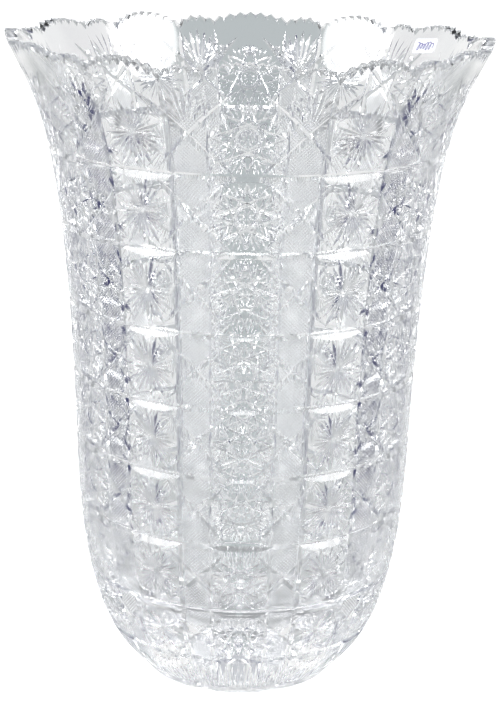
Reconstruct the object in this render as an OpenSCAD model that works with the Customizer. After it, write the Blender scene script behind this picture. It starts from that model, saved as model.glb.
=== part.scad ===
// Cut crystal vase: a thick-walled, flared vessel of clear lead glass with a scalloped,
// saw-toothed rim and a net of V-shaped mitre cuts, and the paper price label stuck inside it.
// The origin is the centre of the flat foot. +Z is up, and -Y is the front.

/* [Body] */
// Height from the foot to the highest lobe of the rim
height = 355; // [300:1:405]
// Outer radius at the rim
rim_r = 129.5; // [124:0.5:134]
// Outer radius at the waist
waist_r = 92.2; // [88:0.1:96]
// Radius of the flat foot
foot_r = 54; // [48:1:58]
// Thickness of the glass at the rim
rim_wall = 6.5; // [5:0.5:8]
// Thickness of the glass at the waist
waist_wall = 9; // [7:0.5:10]
// Thickness of the solid glass in the base
floor_t = 28; // [22:1:34]

/* [Cut pattern] */
// Width of a mitre cut at the surface
mitre_w = 4.4; // [2:0.2:5]
// Depth of a ring cut
ring_d = 2.2; // [2:0.1:2.6]
// Depth of an upright mitre, which is less than that of a ring
mitre_d = 1.7; // [1:0.1:1.8]
// Half the angle of a star column, and of a hobstar column
column_a = 10; // [8:0.5:11]
// Depth of a saw tooth of the rim
tooth_d = 1.8; // [0.8:0.1:2.2]

/* [Price label] */
// Width round the wall
label_w = 18.5; // [14:0.5:26]
// Height up the wall
label_h = 9; // [8:1:14]
// Thickness of the paper
label_t = 0.3; // [0.2:0.05:0.4]
// Distance of its centre below the top of the vase
label_drop = 12; // [10:1:19]

/* [Hidden] */

// The pattern repeats six times round the vase.
SECTORS = 6;
SECTOR_A = 360 / SECTORS;
// Each sector has a hobstar column, two narrow columns and a star column. Their edges are
// the upright mitres, given as angles from the middle of the hobstar column.
MITRE_ANGLES = [column_a, 2 * column_a, SECTOR_A - 2 * column_a, SECTOR_A - column_a];

// Heights of the horizontal ring cuts, as shares of the height.
RING_SHARES = [0.082, 0.175, 0.282, 0.389, 0.494, 0.605, 0.724, 0.836];
RINGS = [for (share = RING_SHARES) share * height];
// The upright mitres run out above the top ring, below the rim.
MITRE_TOP = 0.945 * height;
MITRE_BOTTOM = 0.03 * height;

// The outline is two Bezier curves that meet at the waist.
WAIST_Z = 0.366 * height;
STEPS = 14;

// How far cutters reach past the glass, how far the stretches of a mitre overlap, and how far
// the outline's own corners keep from those of a notch.
CLEAR = 5;
OVERLAP = 0.15;
CORNER_GAP = 0.3;

function bezier(p, t) =
    pow(1 - t, 3) * p[0] + 3 * pow(1 - t, 2) * t * p[1]
    + 3 * (1 - t) * t * t * p[2] + pow(t, 3) * p[3];

function curve(p) = [for (i = [0 : STEPS]) bezier(p, i / STEPS)];

function flare(r_waist, r_rim) = curve([
    [r_waist, WAIST_Z],
    [r_waist + 0.016 * height, 0.893 * height],
    [r_rim - 0.043 * height, 0.904 * height],
    [r_rim, height]
]);

OUTER_BOWL = curve([
    [foot_r, 0],
    [foot_r + 0.025 * height, 0.039 * height],
    [waist_r - 0.009 * height, 0.052 * height],
    [waist_r, WAIST_Z]
]);
INNER_BOWL = curve([
    [0, floor_t],
    [0.6 * waist_r, floor_t],
    [waist_r - waist_wall - 0.006 * height, 0.13 * height],
    [waist_r - waist_wall, WAIST_Z]
]);
OUTER_FLARE = flare(waist_r, rim_r);
INNER_FLARE = flare(waist_r - waist_wall, rim_r - rim_wall);

function tail(points) = [for (i = [1 : len(points) - 1]) points[i]];

// Outside and inside of the wall, each from the bottom up.
OUTER = concat(OUTER_BOWL, tail(OUTER_FLARE));
INNER = concat(INNER_BOWL, tail(INNER_FLARE));

// Radius of the outside at a height.
function outer_r(z) = lookup(z, [for (p = OUTER) [p[1], p[0]]]);

function reversed(points) = [for (i = [len(points) - 1 : -1 : 0]) points[i]];

// The outside, with a notch for each ring cut.
function near_ring(z) = len([for (ring = RINGS) if (abs(z - ring) <= mitre_w / 2) ring]) > 0;

NOTCHES = [
    for (ring = RINGS)
        each [
            [outer_r(ring - mitre_w / 2), ring - mitre_w / 2],
            [outer_r(ring) - ring_d, ring],
            [outer_r(ring + mitre_w / 2), ring + mitre_w / 2]
        ]
];

function plain_between(low, high) =
    [for (p = OUTER) if (p[1] > low + CORNER_GAP && p[1] < high - CORNER_GAP && !near_ring(p[1])) p];

BOUNDS = concat([-1], RINGS, [height + 1]);
CUT_OUTER = [
    for (i = [0 : len(BOUNDS) - 2])
        each concat(
            i == 0 ? [] : [for (j = [0 : 2]) NOTCHES[3 * (i - 1) + j]],
            plain_between(
                i == 0 ? -1 : BOUNDS[i] + mitre_w / 2,
                i == len(BOUNDS) - 2 ? height + 1 : BOUNDS[i + 1] - mitre_w / 2
            )
        )
];

// The rim, seen square on: lobes that end in saw teeth, with a deeper notch between lobes.
// A lobe is [half width as an angle, its middle's angle, drop of its ends, of its top, teeth].
// A drop is the distance below the top of the vase.
LOBES = [
    [column_a, 0, 4.5, 0.5, 7],
    [column_a / 2, 1.5 * column_a, 6, 2.5, 4],
    [column_a, SECTOR_A / 2, 7, 0, 9],
    [column_a / 2, SECTOR_A - 1.5 * column_a, 6, 2.5, 4]
];

// Height of a lobe's edge, at a share t of its width.
function lobe_z(lobe, t) = height - lobe[2] + (lobe[2] - lobe[3]) * sin(180 * t);

function lobe_outline(lobe, reach) = [
    for (i = [0 : 2 * lobe[4]])
        let (t = i / (2 * lobe[4]))
            [reach * (2 * t - 1), lobe_z(lobe, t) - (i % 2 == 0 ? tooth_d : 0)]
];

// What the cutter takes off above one lobe.
module lobe_cut(lobe) {
    reach = 1.01 * rim_r * sin(lobe[0]);
    rotate([0, 0, lobe[1] - 90])
        translate([rim_r + CLEAR, 0, 0])
            rotate([90, 0, -90])
                linear_extrude(height = rim_wall + 5 * CLEAR)
                    polygon(concat(
                        [[reach, height + CLEAR], [-reach, height + CLEAR]],
                        lobe_outline(lobe, reach)
                    ));
}

// One straight stretch of an upright mitre, between two heights on the wall.
module mitre_stretch(z0, z1) {
    r0 = outer_r(z0);
    r1 = outer_r(z1);
    lean = atan2(r1 - r0, z1 - z0);
    proud = 3;
    half = mitre_w / 2 * (mitre_d + proud) / mitre_d;
    translate([r0, 0, z0])
        rotate([0, lean, 0])
            translate([0, 0, -OVERLAP])
                linear_extrude(height = norm([r1 - r0, z1 - z0]) + 2 * OVERLAP)
                    polygon([[-mitre_d, 0], [proud, -half], [proud, half]]);
}

module upright_mitre(angle) {
    stops = concat([MITRE_BOTTOM], RINGS, [MITRE_TOP]);
    rotate([0, 0, angle - 90])
        for (i = [0 : len(stops) - 2])
            mitre_stretch(stops[i], stops[i + 1]);
}

module vase() {
    color([0.86, 0.89, 0.92, 0.45])
        difference() {
            rotate_extrude($fn = 96)
                polygon(concat([[0, 0]], CUT_OUTER, reversed(INNER)));
            for (sector = [0 : SECTORS - 1])
                rotate([0, 0, sector * SECTOR_A]) {
                    for (lobe = LOBES)
                        lobe_cut(lobe);
                    for (angle = MITRE_ANGLES)
                        upright_mitre(angle);
                }
        }
}

// The label is a thin patch of the space just inside the wall, at this angle round the vase.
LABEL_A = 122.5;
LABEL_Z = height - label_drop;
LABEL_CORNER = 1.5;
// It was stuck on slightly askew, turned clockwise by this angle as seen from outside the vase.
LABEL_TURN = 7;

function inner_r(z) = lookup(z, [for (p = INNER) [p[1], p[0]]]);

module label_outline() {
    w = label_w / 2 - LABEL_CORNER;
    h = label_h / 2 - LABEL_CORNER;
    square([2 * w, label_h], center = true);
    square([label_w, 2 * h], center = true);
    for (x = [-w, w], y = [-h, h])
        translate([x, y])
            circle(r = LABEL_CORNER, $fn = 32);
}

module price_label() {
    skin = [for (p = INNER_FLARE) if (p[1] > 0.9 * height) p];
    lean = atan2(inner_r(LABEL_Z + 4) - inner_r(LABEL_Z - 4), 8);
    color([0.97, 0.97, 0.98])
        intersection() {
            rotate_extrude($fn = 96)
                polygon(concat(skin, reversed([for (p = skin) p - [label_t, 0]])));
            rotate([0, 0, LABEL_A - 90])
                translate([inner_r(LABEL_Z), 0, LABEL_Z])
                    rotate([0, lean, 0])
                        rotate([90, 0, 90])
                            linear_extrude(height = 30, center = true)
                                rotate(-LABEL_TURN)
                                    label_outline();
        }
}

vase();
price_label();
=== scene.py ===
"""Cut crystal vase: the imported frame, with the glass cut in full and the paper label finished.

A 30 degree wedge of the vase is turned, cut with V-shaped cutters and repeated twelve times, every
other time mirrored. The label is the frame's own, with a pen mark added.
"""

import math

import bmesh
import bpy
import numpy as np
from mathutils import Matrix, Vector


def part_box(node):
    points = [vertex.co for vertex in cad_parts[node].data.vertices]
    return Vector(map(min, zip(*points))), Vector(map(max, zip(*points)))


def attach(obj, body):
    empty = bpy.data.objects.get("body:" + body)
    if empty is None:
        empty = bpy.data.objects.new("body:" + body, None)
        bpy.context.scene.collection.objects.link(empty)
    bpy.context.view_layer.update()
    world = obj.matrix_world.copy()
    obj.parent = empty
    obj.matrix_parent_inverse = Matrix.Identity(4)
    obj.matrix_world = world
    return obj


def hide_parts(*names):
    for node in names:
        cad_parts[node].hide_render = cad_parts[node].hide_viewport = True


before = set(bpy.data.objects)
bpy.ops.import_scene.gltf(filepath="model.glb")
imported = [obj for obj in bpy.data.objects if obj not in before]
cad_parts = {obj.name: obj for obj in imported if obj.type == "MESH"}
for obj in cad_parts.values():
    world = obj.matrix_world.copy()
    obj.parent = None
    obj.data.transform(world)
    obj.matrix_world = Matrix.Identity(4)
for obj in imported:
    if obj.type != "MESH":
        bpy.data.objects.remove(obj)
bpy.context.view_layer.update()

# ---------------------------------------------------------------- sizes
# The glass is cut in millimetres and scaled to metres at the end. Angles round the vase are in
# degrees from the middle of the front hobstar column, growing to the right. Heights on the wall
# are measured along its outline, from the foot's edge.

MM = 0.001
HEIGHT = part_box("vase")[1][2] / MM
RIM_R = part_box("vase")[1][0] / MM
WAIST_R = 0.2597 * HEIGHT
FOOT_R = 0.1521 * HEIGHT
WAIST_Z = 0.366 * HEIGHT
WAIST_WALL = 9.0
RIM_WALL = 6.5
FLOOR_T = 28.0

SECTORS = 6
WEDGE_A = 30.0
# Half the angle of a hobstar or star column, and the whole angle of a narrow column.
COLUMN_A = 10.0
# The middles of the star column and of the narrow column. The hobstar column's is 0.
STAR_A = 30.0
NARROW_A = 15.0
# How far cuts that go right round reach past the wedge's sides.
PAST_A = 2.0
RINGS_Z = [share * HEIGHT for share in (0.082, 0.175, 0.282, 0.389, 0.494, 0.605, 0.724, 0.836)]
TOP_ROW_Z = 0.946 * HEIGHT
# Depth of a V cut over half its width, where a cut has none of its own.
SLOPE = 0.95
# The groove round the middle of a hobstar.
BUTTON_R = 5.4


# ---------------------------------------------------------------- the wall's outline
def bezier(points, steps):
    t = np.linspace(0, 1, steps + 1)[:, None]
    a, b, c, d = (np.array(p, float) for p in points)
    return (1 - t) ** 3 * a + 3 * (1 - t) ** 2 * t * b + 3 * (1 - t) * t * t * c + t**3 * d


def flare(r_waist, r_rim, steps):
    return bezier(
        [
            (r_waist, WAIST_Z),
            (r_waist + 0.016 * HEIGHT, 0.893 * HEIGHT),
            (r_rim - 0.043 * HEIGHT, 0.904 * HEIGHT),
            (r_rim, HEIGHT),
        ],
        steps,
    )


def outer_bowl(steps):
    return bezier(
        [
            (FOOT_R, 0),
            (FOOT_R + 0.025 * HEIGHT, 0.039 * HEIGHT),
            (WAIST_R - 0.009 * HEIGHT, 0.052 * HEIGHT),
            (WAIST_R, WAIST_Z),
        ],
        steps,
    )


def inner_bowl(steps):
    r = WAIST_R - WAIST_WALL
    return bezier(
        [(0, FLOOR_T), (0.6 * WAIST_R, FLOOR_T), (r - 0.006 * HEIGHT, 0.13 * HEIGHT), (r, WAIST_Z)],
        steps,
    )


FINE = np.vstack([outer_bowl(200), flare(WAIST_R, RIM_R, 300)[1:]])
STEP = np.diff(FINE, axis=0)
FINE_S = np.concatenate([[0], np.cumsum(np.hypot(STEP[:, 0], STEP[:, 1]))])
TANGENT = np.gradient(FINE, FINE_S, axis=0)
TANGENT /= np.linalg.norm(TANGENT, axis=1)[:, None]


def s_of_z(z):
    return float(np.interp(z, FINE[:, 1], FINE_S))


def r_of_s(s):
    return np.interp(s, FINE_S, FINE[:, 0])


def on_wall(angle, s, out):
    """Points at an angle and a height on the outside wall, out millimetres proud of it."""
    s = np.clip(s, 0, FINE_S[-1])
    tr, tz = (np.interp(s, FINE_S, TANGENT[:, k]) for k in (0, 1))
    r = r_of_s(s) + tz * out
    z = np.interp(s, FINE_S, FINE[:, 1]) - tr * out
    a = np.radians(angle)
    return np.stack([r * np.sin(a), -r * np.cos(a), z], axis=1)


# ---------------------------------------------------------------- cutters
class Cutters:
    """Closed V-shaped tubes that don't touch each other, gathered in one mesh."""

    def __init__(self):
        self.points = []
        self.faces = []

    def tube(self, apex, left, right):
        """A triangular tube through the three rows of points."""
        start = sum(len(p) for p in self.points)
        n = len(apex)
        self.points.append(np.stack([apex, left, right], axis=1).reshape(-1, 3))
        for i in range(n - 1):
            here = start + 3 * i
            for a, b in ((0, 1), (1, 2), (2, 0)):
                self.faces.append((here + a, here + b, here + 3 + b, here + 3 + a))
        last = start + 3 * (n - 1)
        self.faces.append((start, start + 2, start + 1))
        self.faces.append((last, last + 1, last + 2))

    def wall_cut(self, path, widths, slope=SLOPE, proud=0.5):
        """A V cut along a path of (angle, s) on the wall. widths are half its width."""
        path = np.array(path, float)
        widths = np.array(widths, float)
        r = r_of_s(path[:, 1])
        step = np.gradient(path, axis=0)
        da = np.radians(step[:, 0]) * r
        ds = step[:, 1]
        length = np.hypot(da, ds)
        side_a, side_s = -ds / length, da / length
        reach = widths + proud / slope
        turn = np.degrees(side_a * reach / r)
        self.tube(
            on_wall(path[:, 0], path[:, 1], -widths * slope),
            on_wall(path[:, 0] + turn, path[:, 1] + side_s * reach, proud),
            on_wall(path[:, 0] - turn, path[:, 1] - side_s * reach, proud),
        )

    def mesh(self, name):
        return new_mesh(name, np.vstack(self.points), self.faces)


def new_mesh(name, points, faces):
    mesh = bpy.data.meshes.new(name)
    mesh.from_pydata([tuple(p) for p in points], [], faces)
    mesh.validate()
    return mesh


def taper(n, half, lean=1.0):
    """Half widths along a cut made by a wheel: nothing at both ends, widest where lean puts it."""
    t = np.linspace(0, 1, n)
    return half * np.sin(np.pi * t**lean) ** 0.7


def offsets_to_path(centre_a, centre_s, a, b):
    """A path from millimetre offsets round and up the wall, from a cell's centre."""
    s = centre_s + b
    return np.stack([centre_a + np.degrees(a / r_of_s(s)), s], axis=1)


def ray_path(centre_a, centre_s, angle, start, end, n):
    d = np.linspace(start, end, n)
    t = math.radians(angle)
    return offsets_to_path(centre_a, centre_s, d * math.cos(t), d * math.sin(t))


def line_path(centre_a, centre_s, p, q, n):
    t = np.linspace(0, 1, n)
    return offsets_to_path(
        centre_a, centre_s, p[0] + (q[0] - p[0]) * t, p[1] + (q[1] - p[1]) * t
    )


# ---------------------------------------------------------------- the pattern
RINGS = [s_of_z(z) for z in RINGS_Z]
ROW_ENDS = RINGS + [s_of_z(TOP_ROW_Z)]
ROWS = [(ROW_ENDS[i], ROW_ENDS[i + 1]) for i in range(len(ROW_ENDS) - 1)]
S_RIM = FINE_S[-1]


def row_middle(row):
    return (row[0] + row[1]) / 2


def half_width(centre_s, half_angle=COLUMN_A):
    """Half a column's width in millimetres at a height."""
    return math.radians(half_angle) * float(r_of_s(centre_s))


def ring_cuts():
    """Rings right round the vase, each with a wide lens-shaped cut across the star column."""
    ring_half = 1.9
    lens_half, lens_slope, lens_drop = 3.0, 0.7, 0.8
    lens_end, lens_tip = 8.6, 8.7
    rings, lenses = Cutters(), Cutters()
    angles = np.linspace(-PAST_A, WEDGE_A + PAST_A, 24)
    across = np.linspace(-lens_end, lens_end, 21)
    lens_widths = lens_half * np.cos(np.radians(90 * across / lens_tip)) ** 0.6
    for s in RINGS:
        ring_path = np.stack([angles, np.full_like(angles, s)], axis=1)
        rings.wall_cut(ring_path, np.full(len(angles), ring_half))
        lens_path = np.stack([STAR_A + across, np.full_like(across, s - lens_drop)], axis=1)
        lenses.wall_cut(lens_path, lens_widths, slope=lens_slope)
    return [rings, lenses]


def upright_cuts():
    """Upright mitres along both edges of the narrow column, which run out at both ends."""
    low, high = s_of_z(5), s_of_z(0.967 * HEIGHT)
    run_out, top_ratio = 14, 1.3
    cuts = Cutters()
    s = np.linspace(low, high, 70)
    for angle, half in ((COLUMN_A, 1.35), (2 * COLUMN_A, 1.8)):
        from_end = np.minimum(s - low, (high - s) * top_ratio)
        widths = half * np.clip(from_end / run_out, 0, 1) ** 0.6
        cuts.wall_cut(np.stack([np.full_like(s, angle), s], axis=1), widths)
    return [cuts]


def diagonal_cuts():
    """Mitres that cross in the middle of each cell of the narrow columns, for both directions."""
    half, slope, steps = 2.3, 0.9, 13
    longest_a, row_gap, top_extra = 9.9, 2.0, 6.0
    sets = []
    for up in (1, -1):
        cuts = Cutters()
        for row in ROWS:
            s = row_middle(row)
            reach = min(half_width(s, longest_a), (row[1] - row[0]) / 2 - row_gap)
            high = reach + top_extra if row == ROWS[-1] else reach
            path = line_path(NARROW_A, s, (-up * reach, -reach), (up * high, high), steps)
            cuts.wall_cut(path, taper(steps, half), slope=slope)
        sets.append(cuts)
    return sets


def hatch_cuts():
    """Fine crosshatching over the narrow columns."""
    pitch, ridge, slope = 1.35, 0.08, 0.8
    side_gap, end_gap = 0.7, 9
    low, high = s_of_z(14), s_of_z(TOP_ROW_Z)
    middle = (low + high) / 2
    rise = pitch * math.sqrt(2)
    count = int((high - low) / 2 / rise) + 6
    sets = []
    for direction in (1, -1):
        cuts = Cutters()
        for i in range(-count, count + 1):
            centre_s = middle + (i + 0.5) * rise
            if not low + end_gap < centre_s < high - end_gap:
                continue
            half = half_width(centre_s, COLUMN_A / 2) - side_gap
            path = line_path(
                NARROW_A, centre_s, (-half, -direction * half), (half, direction * half), 4
            )
            cuts.wall_cut(path, np.full(4, pitch / 2 - ridge), slope=slope, proud=0.1)
        sets.append(cuts)
    return sets


def star_cuts():
    """A many-rayed star in each cell of the star column, with every other ray shorter."""
    rays, slope, steps = 26, 1.1, 7
    side_gap, end_gap, start = 2.4, 3.2, 0.9
    short, width_share = 0.8, 0.055
    sets = []
    for k in range(rays):
        cuts = Cutters()
        angle = 360 * (k + 0.5) / rays
        t = math.radians(angle)
        for row in ROWS:
            s = row_middle(row)
            wide, tall = half_width(s) - side_gap, (row[1] - row[0]) / 2 - end_gap
            reach = min(wide / max(abs(math.cos(t)), 1e-6), tall / max(abs(math.sin(t)), 1e-6))
            reach = min(reach, 1.1 * tall) * (1.0 if k % 2 else short)
            path = ray_path(STAR_A, s, angle, start, reach, steps)
            cuts.wall_cut(path, taper(steps, width_share * reach, 1.3), slope=slope)
        sets.append(cuts)
    return sets


def hobstar_cell(row):
    """The middle of a cell of the hobstar column, and half its width and height."""
    s = row_middle(row)
    return s, half_width(s), (row[1] - row[0]) / 2


def hobstar_lines():
    """The eight straight cuts whose crossings make an eight-pointed star."""
    edge_gap, half, steps = 1.4, 0.7, 9
    sets = []
    for k in range(8):
        cuts = Cutters()
        a, b = math.radians(45 * k), math.radians(45 * (k + 3))
        for row in ROWS:
            s, wide, tall = hobstar_cell(row)
            r = min(wide - edge_gap, tall - edge_gap)
            p, q = (r * math.cos(a), r * math.sin(a)), (r * math.cos(b), r * math.sin(b))
            cuts.wall_cut(line_path(0, s, p, q, steps), np.full(steps, half))
        sets.append(cuts)
    return sets


def button_cuts():
    """The groove round the star's middle, as two half circles, and the short rays inside it."""
    groove_half, overlap_a, steps = 0.7, 4, 17
    ray_half, ray_steps, start, gap = 0.5, 5, 0.9, 1.2
    sets = []
    for first_a in (0, 180):
        cuts = Cutters()
        t = np.radians(np.linspace(first_a - overlap_a, first_a + 180 + overlap_a, steps))
        for row in ROWS:
            path = offsets_to_path(0, row_middle(row), BUTTON_R * np.cos(t), BUTTON_R * np.sin(t))
            cuts.wall_cut(path, np.full(steps, groove_half))
        sets.append(cuts)
    for k in range(8):
        cuts = Cutters()
        for row in ROWS:
            path = ray_path(0, row_middle(row), 45 * k + 22.5, start, BUTTON_R - gap, ray_steps)
            cuts.wall_cut(path, taper(ray_steps, ray_half))
        sets.append(cuts)
    return sets


def point_cuts():
    """Three small rays between each two points of the star."""
    half, steps, spread = 0.55, 4, 9
    start, end = 0.62, 1.02
    sets = []
    for k in range(8):
        for shift in (-1, 0, 1):
            cuts = Cutters()
            for row in ROWS:
                s, wide, tall = hobstar_cell(row)
                r = min(wide, tall)
                path = ray_path(0, s, 45 * k + 22.5 + spread * shift, start * r, end * r, steps)
                cuts.wall_cut(path, taper(steps, half))
            sets.append(cuts)
    return sets


def corner_cuts():
    """A fan of four rays in each corner of the cell."""
    half, steps, reach, spread = 0.5, 4, 6.5, 18
    side_gap, end_gap = 0.8, 1.0
    sets = []
    for sign_a in (1, -1):
        for sign_b in (1, -1):
            for k in range(4):
                cuts = Cutters()
                lean = math.radians(spread + spread * k)
                for row in ROWS:
                    s, wide, tall = hobstar_cell(row)
                    start = (sign_a * (wide - side_gap), sign_b * (tall - end_gap))
                    end = (
                        start[0] - sign_a * reach * math.cos(lean),
                        start[1] - sign_b * reach * math.sin(lean),
                    )
                    cuts.wall_cut(line_path(0, s, start, end, steps), taper(steps, half))
                sets.append(cuts)
    return sets


def hobstar_cuts():
    """An eight-pointed star with a rayed middle in each cell of the hobstar column."""
    return hobstar_lines() + button_cuts() + point_cuts() + corner_cuts()


def rim_fan_cuts():
    """Fans that open towards the rim: a tall one on each narrow column, and small ones."""
    sets = []
    low = s_of_z(0.9 * HEIGHT)
    rays, spread, longest, shorter = 7, 10.5, 27, 1.2
    for k in range(rays):
        cuts = Cutters()
        from_middle = k - rays // 2
        length = longest - shorter * abs(from_middle)
        path = ray_path(NARROW_A, low, 90 - spread * from_middle, 2.0, length, 7)
        cuts.wall_cut(path, taper(7, 1.25, 1.4))
        sets.append(cuts)
    # Each small fan: where it starts, the direction of its middle, its rays, spread and length.
    for centre, z, middle, rays, spread, length in (
        (0.0, 0.921, 90, 5, 15.0, 9.0), (21.5, 0.912, 62, 4, 14.0, 10.0),
    ):
        for k in range(rays):
            cuts = Cutters()
            lean = middle - spread * (k - (rays - 1) / 2)
            path = ray_path(centre, s_of_z(z * HEIGHT), lean, 1.5, length, 6)
            cuts.wall_cut(path, taper(6, 0.8, 1.3))
            sets.append(cuts)
    return sets


def flute_cuts():
    """Short flutes between the foot and the lowest ring, away from the upright mitres."""
    spacing, half, steps = 2.5, 1.1, 6
    flutes = Cutters()
    s = np.linspace(s_of_z(4), RINGS[0] - 2.6, steps)
    for angle in np.arange(-spacing, WEDGE_A + 3, spacing):
        if min(abs(angle - a) for a in (COLUMN_A, 2 * COLUMN_A)) < 1:
            continue
        flutes.wall_cut(np.stack([np.full(steps, angle), s], axis=1), taper(steps, half))
    return [flutes]


def under_foot_cuts():
    """The rays of the star under the foot."""
    half, slope, proud, steps = 2.6, 0.8, 0.5, 8
    d = np.linspace(2.0, FOOT_R - 5, steps)
    widths = taper(steps, half, 1.3)
    reach = widths + proud
    flat = np.zeros((steps, 1))
    sets = []
    for k in range(-1, 4):
        cuts = Cutters()
        t = math.radians(15 * k)
        along = np.array([math.sin(t), -math.cos(t)])
        across = np.array([along[1], -along[0]])
        apex = np.hstack([d[:, None] * along, flat + widths[:, None] * slope])
        left = np.hstack([d[:, None] * along + reach[:, None] * across, flat - proud * slope])
        right = np.hstack([d[:, None] * along - reach[:, None] * across, flat - proud * slope])
        cuts.tube(apex, left, right)
        sets.append(cuts)
    return sets


# Lobes of the rim over one wedge: the angles of its two ends, how far these and its middle lie
# below the top, and the number of teeth. The first and last lobes reach past the wedge's sides.
LOBES = [
    (-10.0, 10.0, 4.5, 4.5, 0.5, 7),
    (10.0, 20.0, 4.5, 7.0, 2.5, 4),
    (20.0, 40.0, 7.0, 7.0, 0.0, 9),
]
TOOTH = 1.8


def rim_outline():
    """The toothed edge as (angle, height below the top), by turns at a valley and at a tip."""
    past_a = 6
    outline = []
    for start, end, drop_start, drop_end, drop_top, teeth in LOBES:
        for i in range(2 * teeth):
            t = i / (2 * teeth)
            ends = drop_start + (drop_end - drop_start) * t
            drop = ends + (drop_top - ends) * math.sin(math.pi * t) ** 0.8
            outline.append((start + (end - start) * t, drop + (TOOTH if i % 2 == 0 else 0)))
    return [p for p in outline if -past_a < p[0] < WEDGE_A + past_a]


def tooth_cuts():
    """The bevels that widen the valleys between the teeth towards the outside."""
    widest, spread, depth, slope = 2.5, 0.62, 3.4, 0.9
    sets = [Cutters(), Cutters()]
    outline = rim_outline()
    valleys = [p for i, p in enumerate(outline) if p[1] > outline[i - 1][1]]
    for number, (angle, drop) in enumerate(valleys[1:]):
        s = np.linspace(s_of_z(HEIGHT - drop) - depth, S_RIM - 0.05, 6)
        widths = np.minimum(spread * (s - s[0]) + 0.02, widest)
        sets[number % 2].wall_cut(np.stack([np.full(6, angle), s], axis=1), widths, slope=slope)
    return sets


def rim_cutter():
    """The space above the toothed rim, as one closed mesh."""
    outline = rim_outline()
    points = []
    for angle, drop in outline:
        a = math.radians(angle)
        for r in (RIM_R - 30, RIM_R + 8):
            for z in (HEIGHT - drop, HEIGHT + 20):
                points.append((r * math.sin(a), -r * math.cos(a), z))
    faces = []
    for i in range(len(outline) - 1):
        here, there = 4 * i, 4 * i + 4
        for a, b in ((0, 1), (1, 3), (3, 2), (2, 0)):
            faces.append((here + a, here + b, there + b, there + a))
    last = 4 * (len(outline) - 1)
    faces.append((0, 2, 3, 1))
    faces.append((last, last + 1, last + 3, last + 2))
    return new_mesh("rim_cutter", points, faces)


# ---------------------------------------------------------------- the wedge and the whole vase
# The glass mesh's material slots, and the angle from which an edge is sharp.
POLISHED, HATCHED = 0, 1
SHARP_A = 14


def blank_wedge():
    """A 30 degree wedge of the uncut vase, as a closed mesh."""
    foot = [(FOOT_R * t, 0.0) for t in (0.3, 0.6, 0.85)]
    rim = [(RIM_R - RIM_WALL * t, HEIGHT) for t in (0.35, 0.7)]
    inner = np.vstack([inner_bowl(40), flare(WAIST_R - WAIST_WALL, RIM_R - RIM_WALL, 60)[1:]])
    outer = np.vstack([outer_bowl(60), flare(WAIST_R, RIM_R, 80)[1:]])
    loop = foot + [tuple(p) for p in outer] + rim + [tuple(p) for p in inner[:0:-1]]
    steps = 40
    m = len(loop)
    points = [(0, 0, 0), (0, 0, FLOOR_T)]
    for i in range(steps + 1):
        a = math.radians(WEDGE_A * i / steps)
        points += [(r * math.sin(a), -r * math.cos(a), z) for r, z in loop]
    faces = []
    for i in range(steps):
        here, there = 2 + i * m, 2 + (i + 1) * m
        faces.append((0, here, there))
        for j in range(m - 1):
            faces.append((here + j, here + j + 1, there + j + 1, there + j))
        faces.append((1, there + m - 1, here + m - 1))
    first, last = 2, 2 + steps * m
    faces.append((0, 1, *range(first + m - 1, first - 1, -1)))
    faces.append((0, *range(last, last + m), 1))
    return new_mesh("wedge", points, faces)


def face_outwards(mesh):
    """Turns every face the right way if the mesh is inside out."""
    bm = bmesh.new()
    bm.from_mesh(mesh)
    if bm.calc_volume(signed=True) < 0:
        bmesh.ops.reverse_faces(bm, faces=bm.faces)
    bm.to_mesh(mesh)
    bm.free()
    return mesh


def add_slots(mesh):
    """Two empty material slots: polished glass, and the slightly matt glass of the hatching."""
    mesh.materials.append(None)
    mesh.materials.append(None)


def cut(target, cutter_mesh, slot=POLISHED):
    """Takes a closed mesh away from the target's, and gives the cut faces a material slot."""
    add_slots(cutter_mesh)
    cutter_mesh.polygons.foreach_set("material_index", [slot] * len(cutter_mesh.polygons))
    cutter = bpy.data.objects.new("cutter", face_outwards(cutter_mesh))
    bpy.context.scene.collection.objects.link(cutter)
    step = target.modifiers.new("cut", "BOOLEAN")
    step.operation = "DIFFERENCE"
    step.solver = "MANIFOLD"
    step.object = cutter
    result = bpy.data.meshes.new_from_object(
        target.evaluated_get(bpy.context.evaluated_depsgraph_get())
    )
    target.modifiers.remove(step)
    old = target.data
    target.data = result
    bpy.data.objects.remove(cutter)
    bpy.data.meshes.remove(cutter_mesh)
    bpy.data.meshes.remove(old)


def cut_wedge():
    wedge = bpy.data.objects.new("wedge", face_outwards(blank_wedge()))
    add_slots(wedge.data)
    bpy.context.scene.collection.objects.link(wedge)
    cut(wedge, rim_cutter())
    for group in (
        tooth_cuts, ring_cuts, upright_cuts, diagonal_cuts, hatch_cuts,
        star_cuts, hobstar_cuts, rim_fan_cuts, flute_cuts, under_foot_cuts,
    ):
        slot = HATCHED if group is hatch_cuts else POLISHED
        for number, cuts in enumerate(group()):
            cut(wedge, cuts.mesh(f"{group.__name__}_{number}"), slot)
        print(group.__name__, len(wedge.data.polygons), "faces", flush=True)
    return wedge


def open_sides(mesh):
    """Removes the wedge's two flat sides and snaps their edges exactly to the side planes."""
    bm = bmesh.new()
    bm.from_mesh(mesh)
    a = math.radians(WEDGE_A)
    planes = [Vector((1, 0, 0)), Vector((math.cos(a), math.sin(a), 0))]
    near = 1e-3
    for normal in planes:
        flat = [f for f in bm.faces if all(abs(v.co.dot(normal)) < near for v in f.verts)]
        bmesh.ops.delete(bm, geom=flat, context="FACES")
        for v in bm.verts:
            off = v.co.dot(normal)
            if abs(off) < near:
                v.co -= normal * off
    bm.to_mesh(mesh)
    bm.free()


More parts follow.
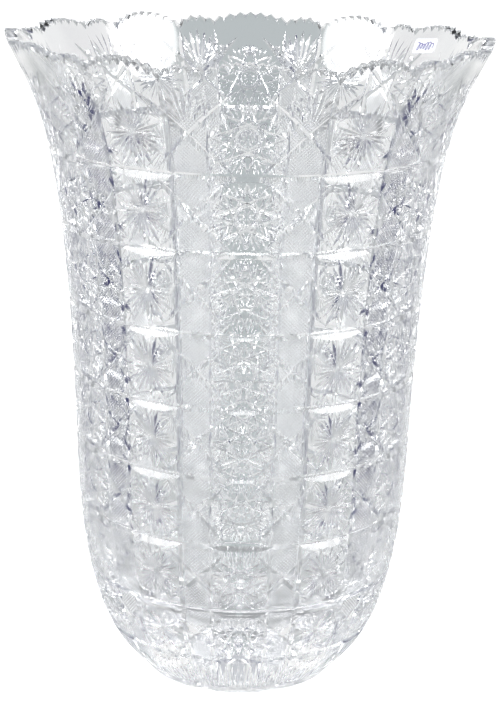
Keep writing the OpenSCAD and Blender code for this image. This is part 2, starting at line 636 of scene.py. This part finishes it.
def whole_vase(wedge_mesh):
    """Twelve wedges, every other one mirrored, joined into one closed mesh in metres."""
    weld = 2e-6
    whole = bmesh.new()
    for sector in range(SECTORS):
        turn = Matrix.Rotation(math.radians(360 / SECTORS * sector), 4, "Z")
        for mirror in (1, -1):
            copy = wedge_mesh.copy()
            copy.transform(Matrix.Scale(MM, 4) @ turn @ Matrix.Diagonal((mirror, 1, 1, 1)))
            if mirror < 0:
                copy.flip_normals()
            whole.from_mesh(copy)
            bpy.data.meshes.remove(copy)
    seam = {v for e in whole.edges if len(e.link_faces) < 2 for v in e.verts}
    bmesh.ops.remove_doubles(whole, verts=list(seam), dist=weld)
    bad = sum(1 for e in whole.edges if len(e.link_faces) != 2)
    print("open or crowded edges:", bad, flush=True)
    mesh = bpy.data.meshes.new("crystal_vase")
    whole.to_mesh(mesh)
    whole.free()
    return mesh


def build_vase():
    wedge = cut_wedge()
    open_sides(wedge.data)
    mesh = whole_vase(wedge.data)
    bpy.data.objects.remove(wedge)
    mesh.shade_smooth()
    mesh.set_sharp_from_angle(angle=math.radians(SHARP_A))
    vase = bpy.data.objects.new("crystal_vase", mesh)
    bpy.context.scene.collection.objects.link(vase)
    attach(vase, "root")
    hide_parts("vase")
    vase.visible_shadow = False
    return vase


# ---------------------------------------------------------------- the label's pen mark
# The middle of the label and its turn, as in the frame.
LABEL_A = 122.5
LABEL_Z = HEIGHT - 12.0
LABEL_TURN = math.radians(7)
INNER_FLARE = flare(WAIST_R - WAIST_WALL, RIM_R - RIM_WALL, 200)


def on_label(across, up, off):
    """A point at millimetre offsets across and up the label from its middle, and off the wall."""
    across, up = (
        across * math.cos(LABEL_TURN) - up * math.sin(LABEL_TURN),
        across * math.sin(LABEL_TURN) + up * math.cos(LABEL_TURN),
    )
    z = LABEL_Z + up
    r = float(np.interp(z, INNER_FLARE[:, 1], INNER_FLARE[:, 0])) - off
    a = math.radians(LABEL_A) - across / r
    return Vector((r * math.sin(a), -r * math.cos(a), z)) * MM


def build_pen_mark():
    """A meaningless scribble of ballpoint ink, as a thin closed ribbon on the paper."""
    strokes, half_length, wobble, height = 5.5, 6.5, 1.2, 2.2
    half_line = 0.23
    # The ribbon's back and front, in millimetres off the wall. The paper is 0.3 thick.
    back, front = 0.25, 0.38
    t = np.linspace(0, 1, 90)
    turns = 2 * math.pi * strokes * t
    across = half_length * (2 * t - 1) + wobble * np.sin(turns)
    up = height * np.sin(turns + 1.1) * (0.75 + 0.25 * np.cos(9 * t))
    step_a, step_u = np.gradient(across), np.gradient(up)
    length = np.hypot(step_a, step_u)
    side_a, side_u = -step_u / length * half_line, step_a / length * half_line
    points = []
    for i in range(len(t)):
        for sign in (1, -1):
            for off in (back, front):
                points.append(on_label(across[i] + sign * side_a[i], up[i] + sign * side_u[i], off))
    faces = [(0, 1, 3, 2)]
    for i in range(len(t) - 1):
        here = 4 * i
        for a, b in ((0, 2), (2, 3), (3, 1), (1, 0)):
            faces.append((here + a, here + b, here + 4 + b, here + 4 + a))
    last = 4 * (len(t) - 1)
    faces.append((last, last + 2, last + 3, last + 1))
    mark = bpy.data.objects.new("pen_mark", face_outwards(new_mesh("pen_mark", points, faces)))
    bpy.context.scene.collection.objects.link(mark)
    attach(mark, "root")
    return mark


# ---------------------------------------------------------------- materials
def crystal_material(name, roughness):
    material = bpy.data.materials.new(name)
    material.use_nodes = True
    shader = material.node_tree.nodes["Principled BSDF"]
    shader.inputs["Base Color"].default_value = (0.95, 0.957, 0.958, 1)
    shader.inputs["Transmission Weight"].default_value = 1.0
    shader.inputs["Roughness"].default_value = roughness
    shader.inputs["IOR"].default_value = 1.545
    return material


def ink_material():
    material = bpy.data.materials.new("ballpoint_ink")
    material.use_nodes = True
    shader = material.node_tree.nodes["Principled BSDF"]
    shader.inputs["Base Color"].default_value = (0.09, 0.08, 0.33, 1)
    shader.inputs["Roughness"].default_value = 0.4
    return material


def paper_material():
    """White paper with faint fibres."""
    material = bpy.data.materials.new("label_paper")
    material.use_nodes = True
    wiring = Wiring(material.node_tree)
    shader = wiring.nodes["Principled BSDF"]
    fibres = wiring.nodes.new("ShaderNodeTexNoise")
    fibres.inputs["Scale"].default_value = 900.0
    wiring.connect(wiring.nodes.new("ShaderNodeTexCoord").outputs["Object"], fibres.inputs["Vector"])
    paper = wiring.mix(fibres.outputs["Fac"], (0.86, 0.86, 0.89), (0.95, 0.95, 0.96))
    wiring.connect(paper, shader.inputs["Base Color"])
    shader.inputs["Roughness"].default_value = 0.75
    return material


# ---------------------------------------------------------------- surroundings
# The light's colour in each direction. Edges are where a smooth step starts and ends. Those round
# the horizon are cosines of the angle from straight behind the vase, or from the camera's side for
# CAMERA_SIDE. Those up and down are heights of a direction of length 1.
# GAP is a dark strip on each side, and CARD a grey card straight behind the vase. NEAR_FLOOR and
# UNDER are steeper downward directions than BELOW.
SIDES = (0.58, 0.60, 0.64)
CAMERA_SIDE, CAMERA_SIDE_EDGES = (0.44, 0.46, 0.50), (0.2, 0.6)
GAP, GAP_OUTER_EDGES, GAP_INNER_EDGES = (0.03, 0.03, 0.12), (0.0, 0.15), (0.48, 0.62)
BEHIND, BEHIND_EDGES = (0.95, 0.95, 0.95), (0.72, 0.82)
BELOW, BELOW_EDGES = (0.55, 0.57, 0.57), (0.26, 0.42)
NEAR_FLOOR, NEAR_FLOOR_EDGES = (0.74, 0.75, 0.76), (0.44, 0.54)
UNDER, UNDER_EDGES = (0.34, 0.35, 0.36), (0.68, 0.82)
ABOVE, ABOVE_EDGES = (0.62, 0.64, 0.68), (0.5, 0.8)
CARD, CARD_EDGES = (0.50, 0.54, 0.55), (0.9982, 0.9992)
# Each softbox is a direction and the cosine of its half angle.
SOFTBOXES = [
    ((0.70, -0.22, 0.68), 0.955),
    ((-0.70, -0.22, 0.68), 0.955),
    ((0.0, -0.33, 0.94), 0.985),
]
SOFTBOX_EDGE = 0.01
SOFTBOX_LIGHT = (9.0, 9.0, 9.0)
BACKDROP = (1.1, 1.1, 1.1)


class Wiring:
    """Short ways to add nodes to a node tree and link them."""

    def __init__(self, tree):
        self.nodes, self.links = tree.nodes, tree.links

    def connect(self, value, socket):
        if isinstance(value, tuple):
            socket.default_value = (*value, 1)
        elif isinstance(value, (int, float)):
            socket.default_value = value
        else:
            self.links.new(value, socket)

    def math(self, operation, first, second):
        made = self.nodes.new("ShaderNodeMath")
        made.operation = operation
        self.connect(first, made.inputs[0])
        self.connect(second, made.inputs[1])
        return made.outputs[0]

    def step(self, value, edges):
        made = self.nodes.new("ShaderNodeMapRange")
        made.interpolation_type = "SMOOTHSTEP"
        self.connect(value, made.inputs["Value"])
        made.inputs["From Min"].default_value, made.inputs["From Max"].default_value = edges
        return made.outputs["Result"]

    def mix(self, factor, first, second):
        made = self.nodes.new("ShaderNodeMix")
        made.data_type = "RGBA"
        self.connect(factor, made.inputs[0])
        self.connect(first, made.inputs[6])
        self.connect(second, made.inputs[7])
        return made.outputs[2]


def add_floor():
    """A plain pale floor, which the glass neither shows nor mirrors."""
    mesh = new_mesh(
        "floor", [(-6, -6, 0), (6, -6, 0), (6, 6, 0), (-6, 6, 0)], [(0, 1, 2, 3)]
    )
    floor = bpy.data.objects.new("floor", mesh)
    bpy.context.scene.collection.objects.link(floor)
    material = bpy.data.materials.new("floor")
    material.use_nodes = True
    shader = material.node_tree.nodes["Principled BSDF"]
    shader.inputs["Base Color"].default_value = (0.93, 0.93, 0.93, 1)
    shader.inputs["Roughness"].default_value = 0.9
    mesh.materials.append(material)
    floor.location.z = -0.0002
    floor.visible_transmission = False
    floor.visible_glossy = False


def add_world():
    """Studio light by direction: white behind, greys elsewhere, dark gaps and three softboxes.

    Only the glass sees it like that. The camera sees a plain white backdrop.
    """
    world = bpy.data.worlds.new("studio")
    bpy.context.scene.world = world
    world.use_nodes = True
    wiring = Wiring(world.node_tree)
    math_of, step, mix = wiring.math, wiring.step, wiring.mix
    split = wiring.nodes.new("ShaderNodeSeparateXYZ")
    wiring.connect(wiring.nodes.new("ShaderNodeTexCoord").outputs["Generated"], split.inputs[0])
    x, y, z = split.outputs
    level = math_of("ADD", math_of("MULTIPLY", x, x), math_of("MULTIPLY", y, y))
    behind = math_of("DIVIDE", y, math_of("POWER", math_of("ADD", level, 1e-4), 0.5))
    in_front = math_of("MULTIPLY", behind, -1.0)
    light = mix(step(in_front, CAMERA_SIDE_EDGES), SIDES, CAMERA_SIDE)
    gap = math_of("SUBTRACT", step(behind, GAP_OUTER_EDGES), step(behind, GAP_INNER_EDGES))
    light = mix(gap, light, GAP)
    light = mix(step(behind, BEHIND_EDGES), light, BEHIND)
    down = math_of("MULTIPLY", z, -1.0)
    light = mix(step(down, BELOW_EDGES), light, BELOW)
    light = mix(step(down, NEAR_FLOOR_EDGES), light, NEAR_FLOOR)
    light = mix(step(down, UNDER_EDGES), light, UNDER)
    light = mix(step(z, ABOVE_EDGES), light, ABOVE)
    light = mix(step(behind, CARD_EDGES), light, CARD)
    for towards, edge in SOFTBOXES:
        a, b, c = Vector(towards).normalized()
        near = math_of("ADD", math_of("MULTIPLY", x, a), math_of("MULTIPLY", y, b))
        near = math_of("ADD", near, math_of("MULTIPLY", z, c))
        light = mix(step(near, (edge, edge + SOFTBOX_EDGE)), light, SOFTBOX_LIGHT)
    camera_ray = wiring.nodes.new("ShaderNodeLightPath").outputs["Is Camera Ray"]
    wiring.connect(mix(camera_ray, light, BACKDROP), wiring.nodes["Background"].inputs["Color"])


def add_camera():
    """The camera, fitted to the outline and the rings of the vase."""
    data = bpy.data.cameras.new("camera")
    camera = bpy.data.objects.new("camera", data)
    bpy.context.scene.collection.objects.link(camera)
    camera.location = Vector((0, -0.974, 0.456))
    target = Vector((0.0032, 0, 0.181))
    roll = math.radians(1.13)
    focal_length = 93.98
    look = (target - camera.location).to_track_quat("-Z", "Y").to_matrix().to_4x4()
    camera.matrix_world = (
        Matrix.Translation(camera.location) @ look @ Matrix.Rotation(roll, 4, "Z")
    )
    data.sensor_width = 36
    data.lens = focal_length
    bpy.context.scene.camera = camera


def set_light_paths():
    """Enough bounces to see through several walls of cut glass."""
    cycles = bpy.context.scene.cycles
    cycles.max_bounces = 32
    cycles.transmission_bounces = 32
    cycles.glossy_bounces = 12
    cycles.transparent_max_bounces = 32
    bpy.context.scene.view_settings.view_transform = "Standard"


# ---------------------------------------------------------------- the scene
add_camera()
add_world()
add_floor()
set_light_paths()
vase = build_vase()
vase.data.materials.append(crystal_material("polished_crystal", 0.0))
vase.data.materials.append(crystal_material("hatched_crystal", 0.12))
pen_mark = build_pen_mark()
pen_mark.data.materials.append(ink_material())
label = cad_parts["price_label"]
label.data.materials.clear()
label.data.materials.append(paper_material())
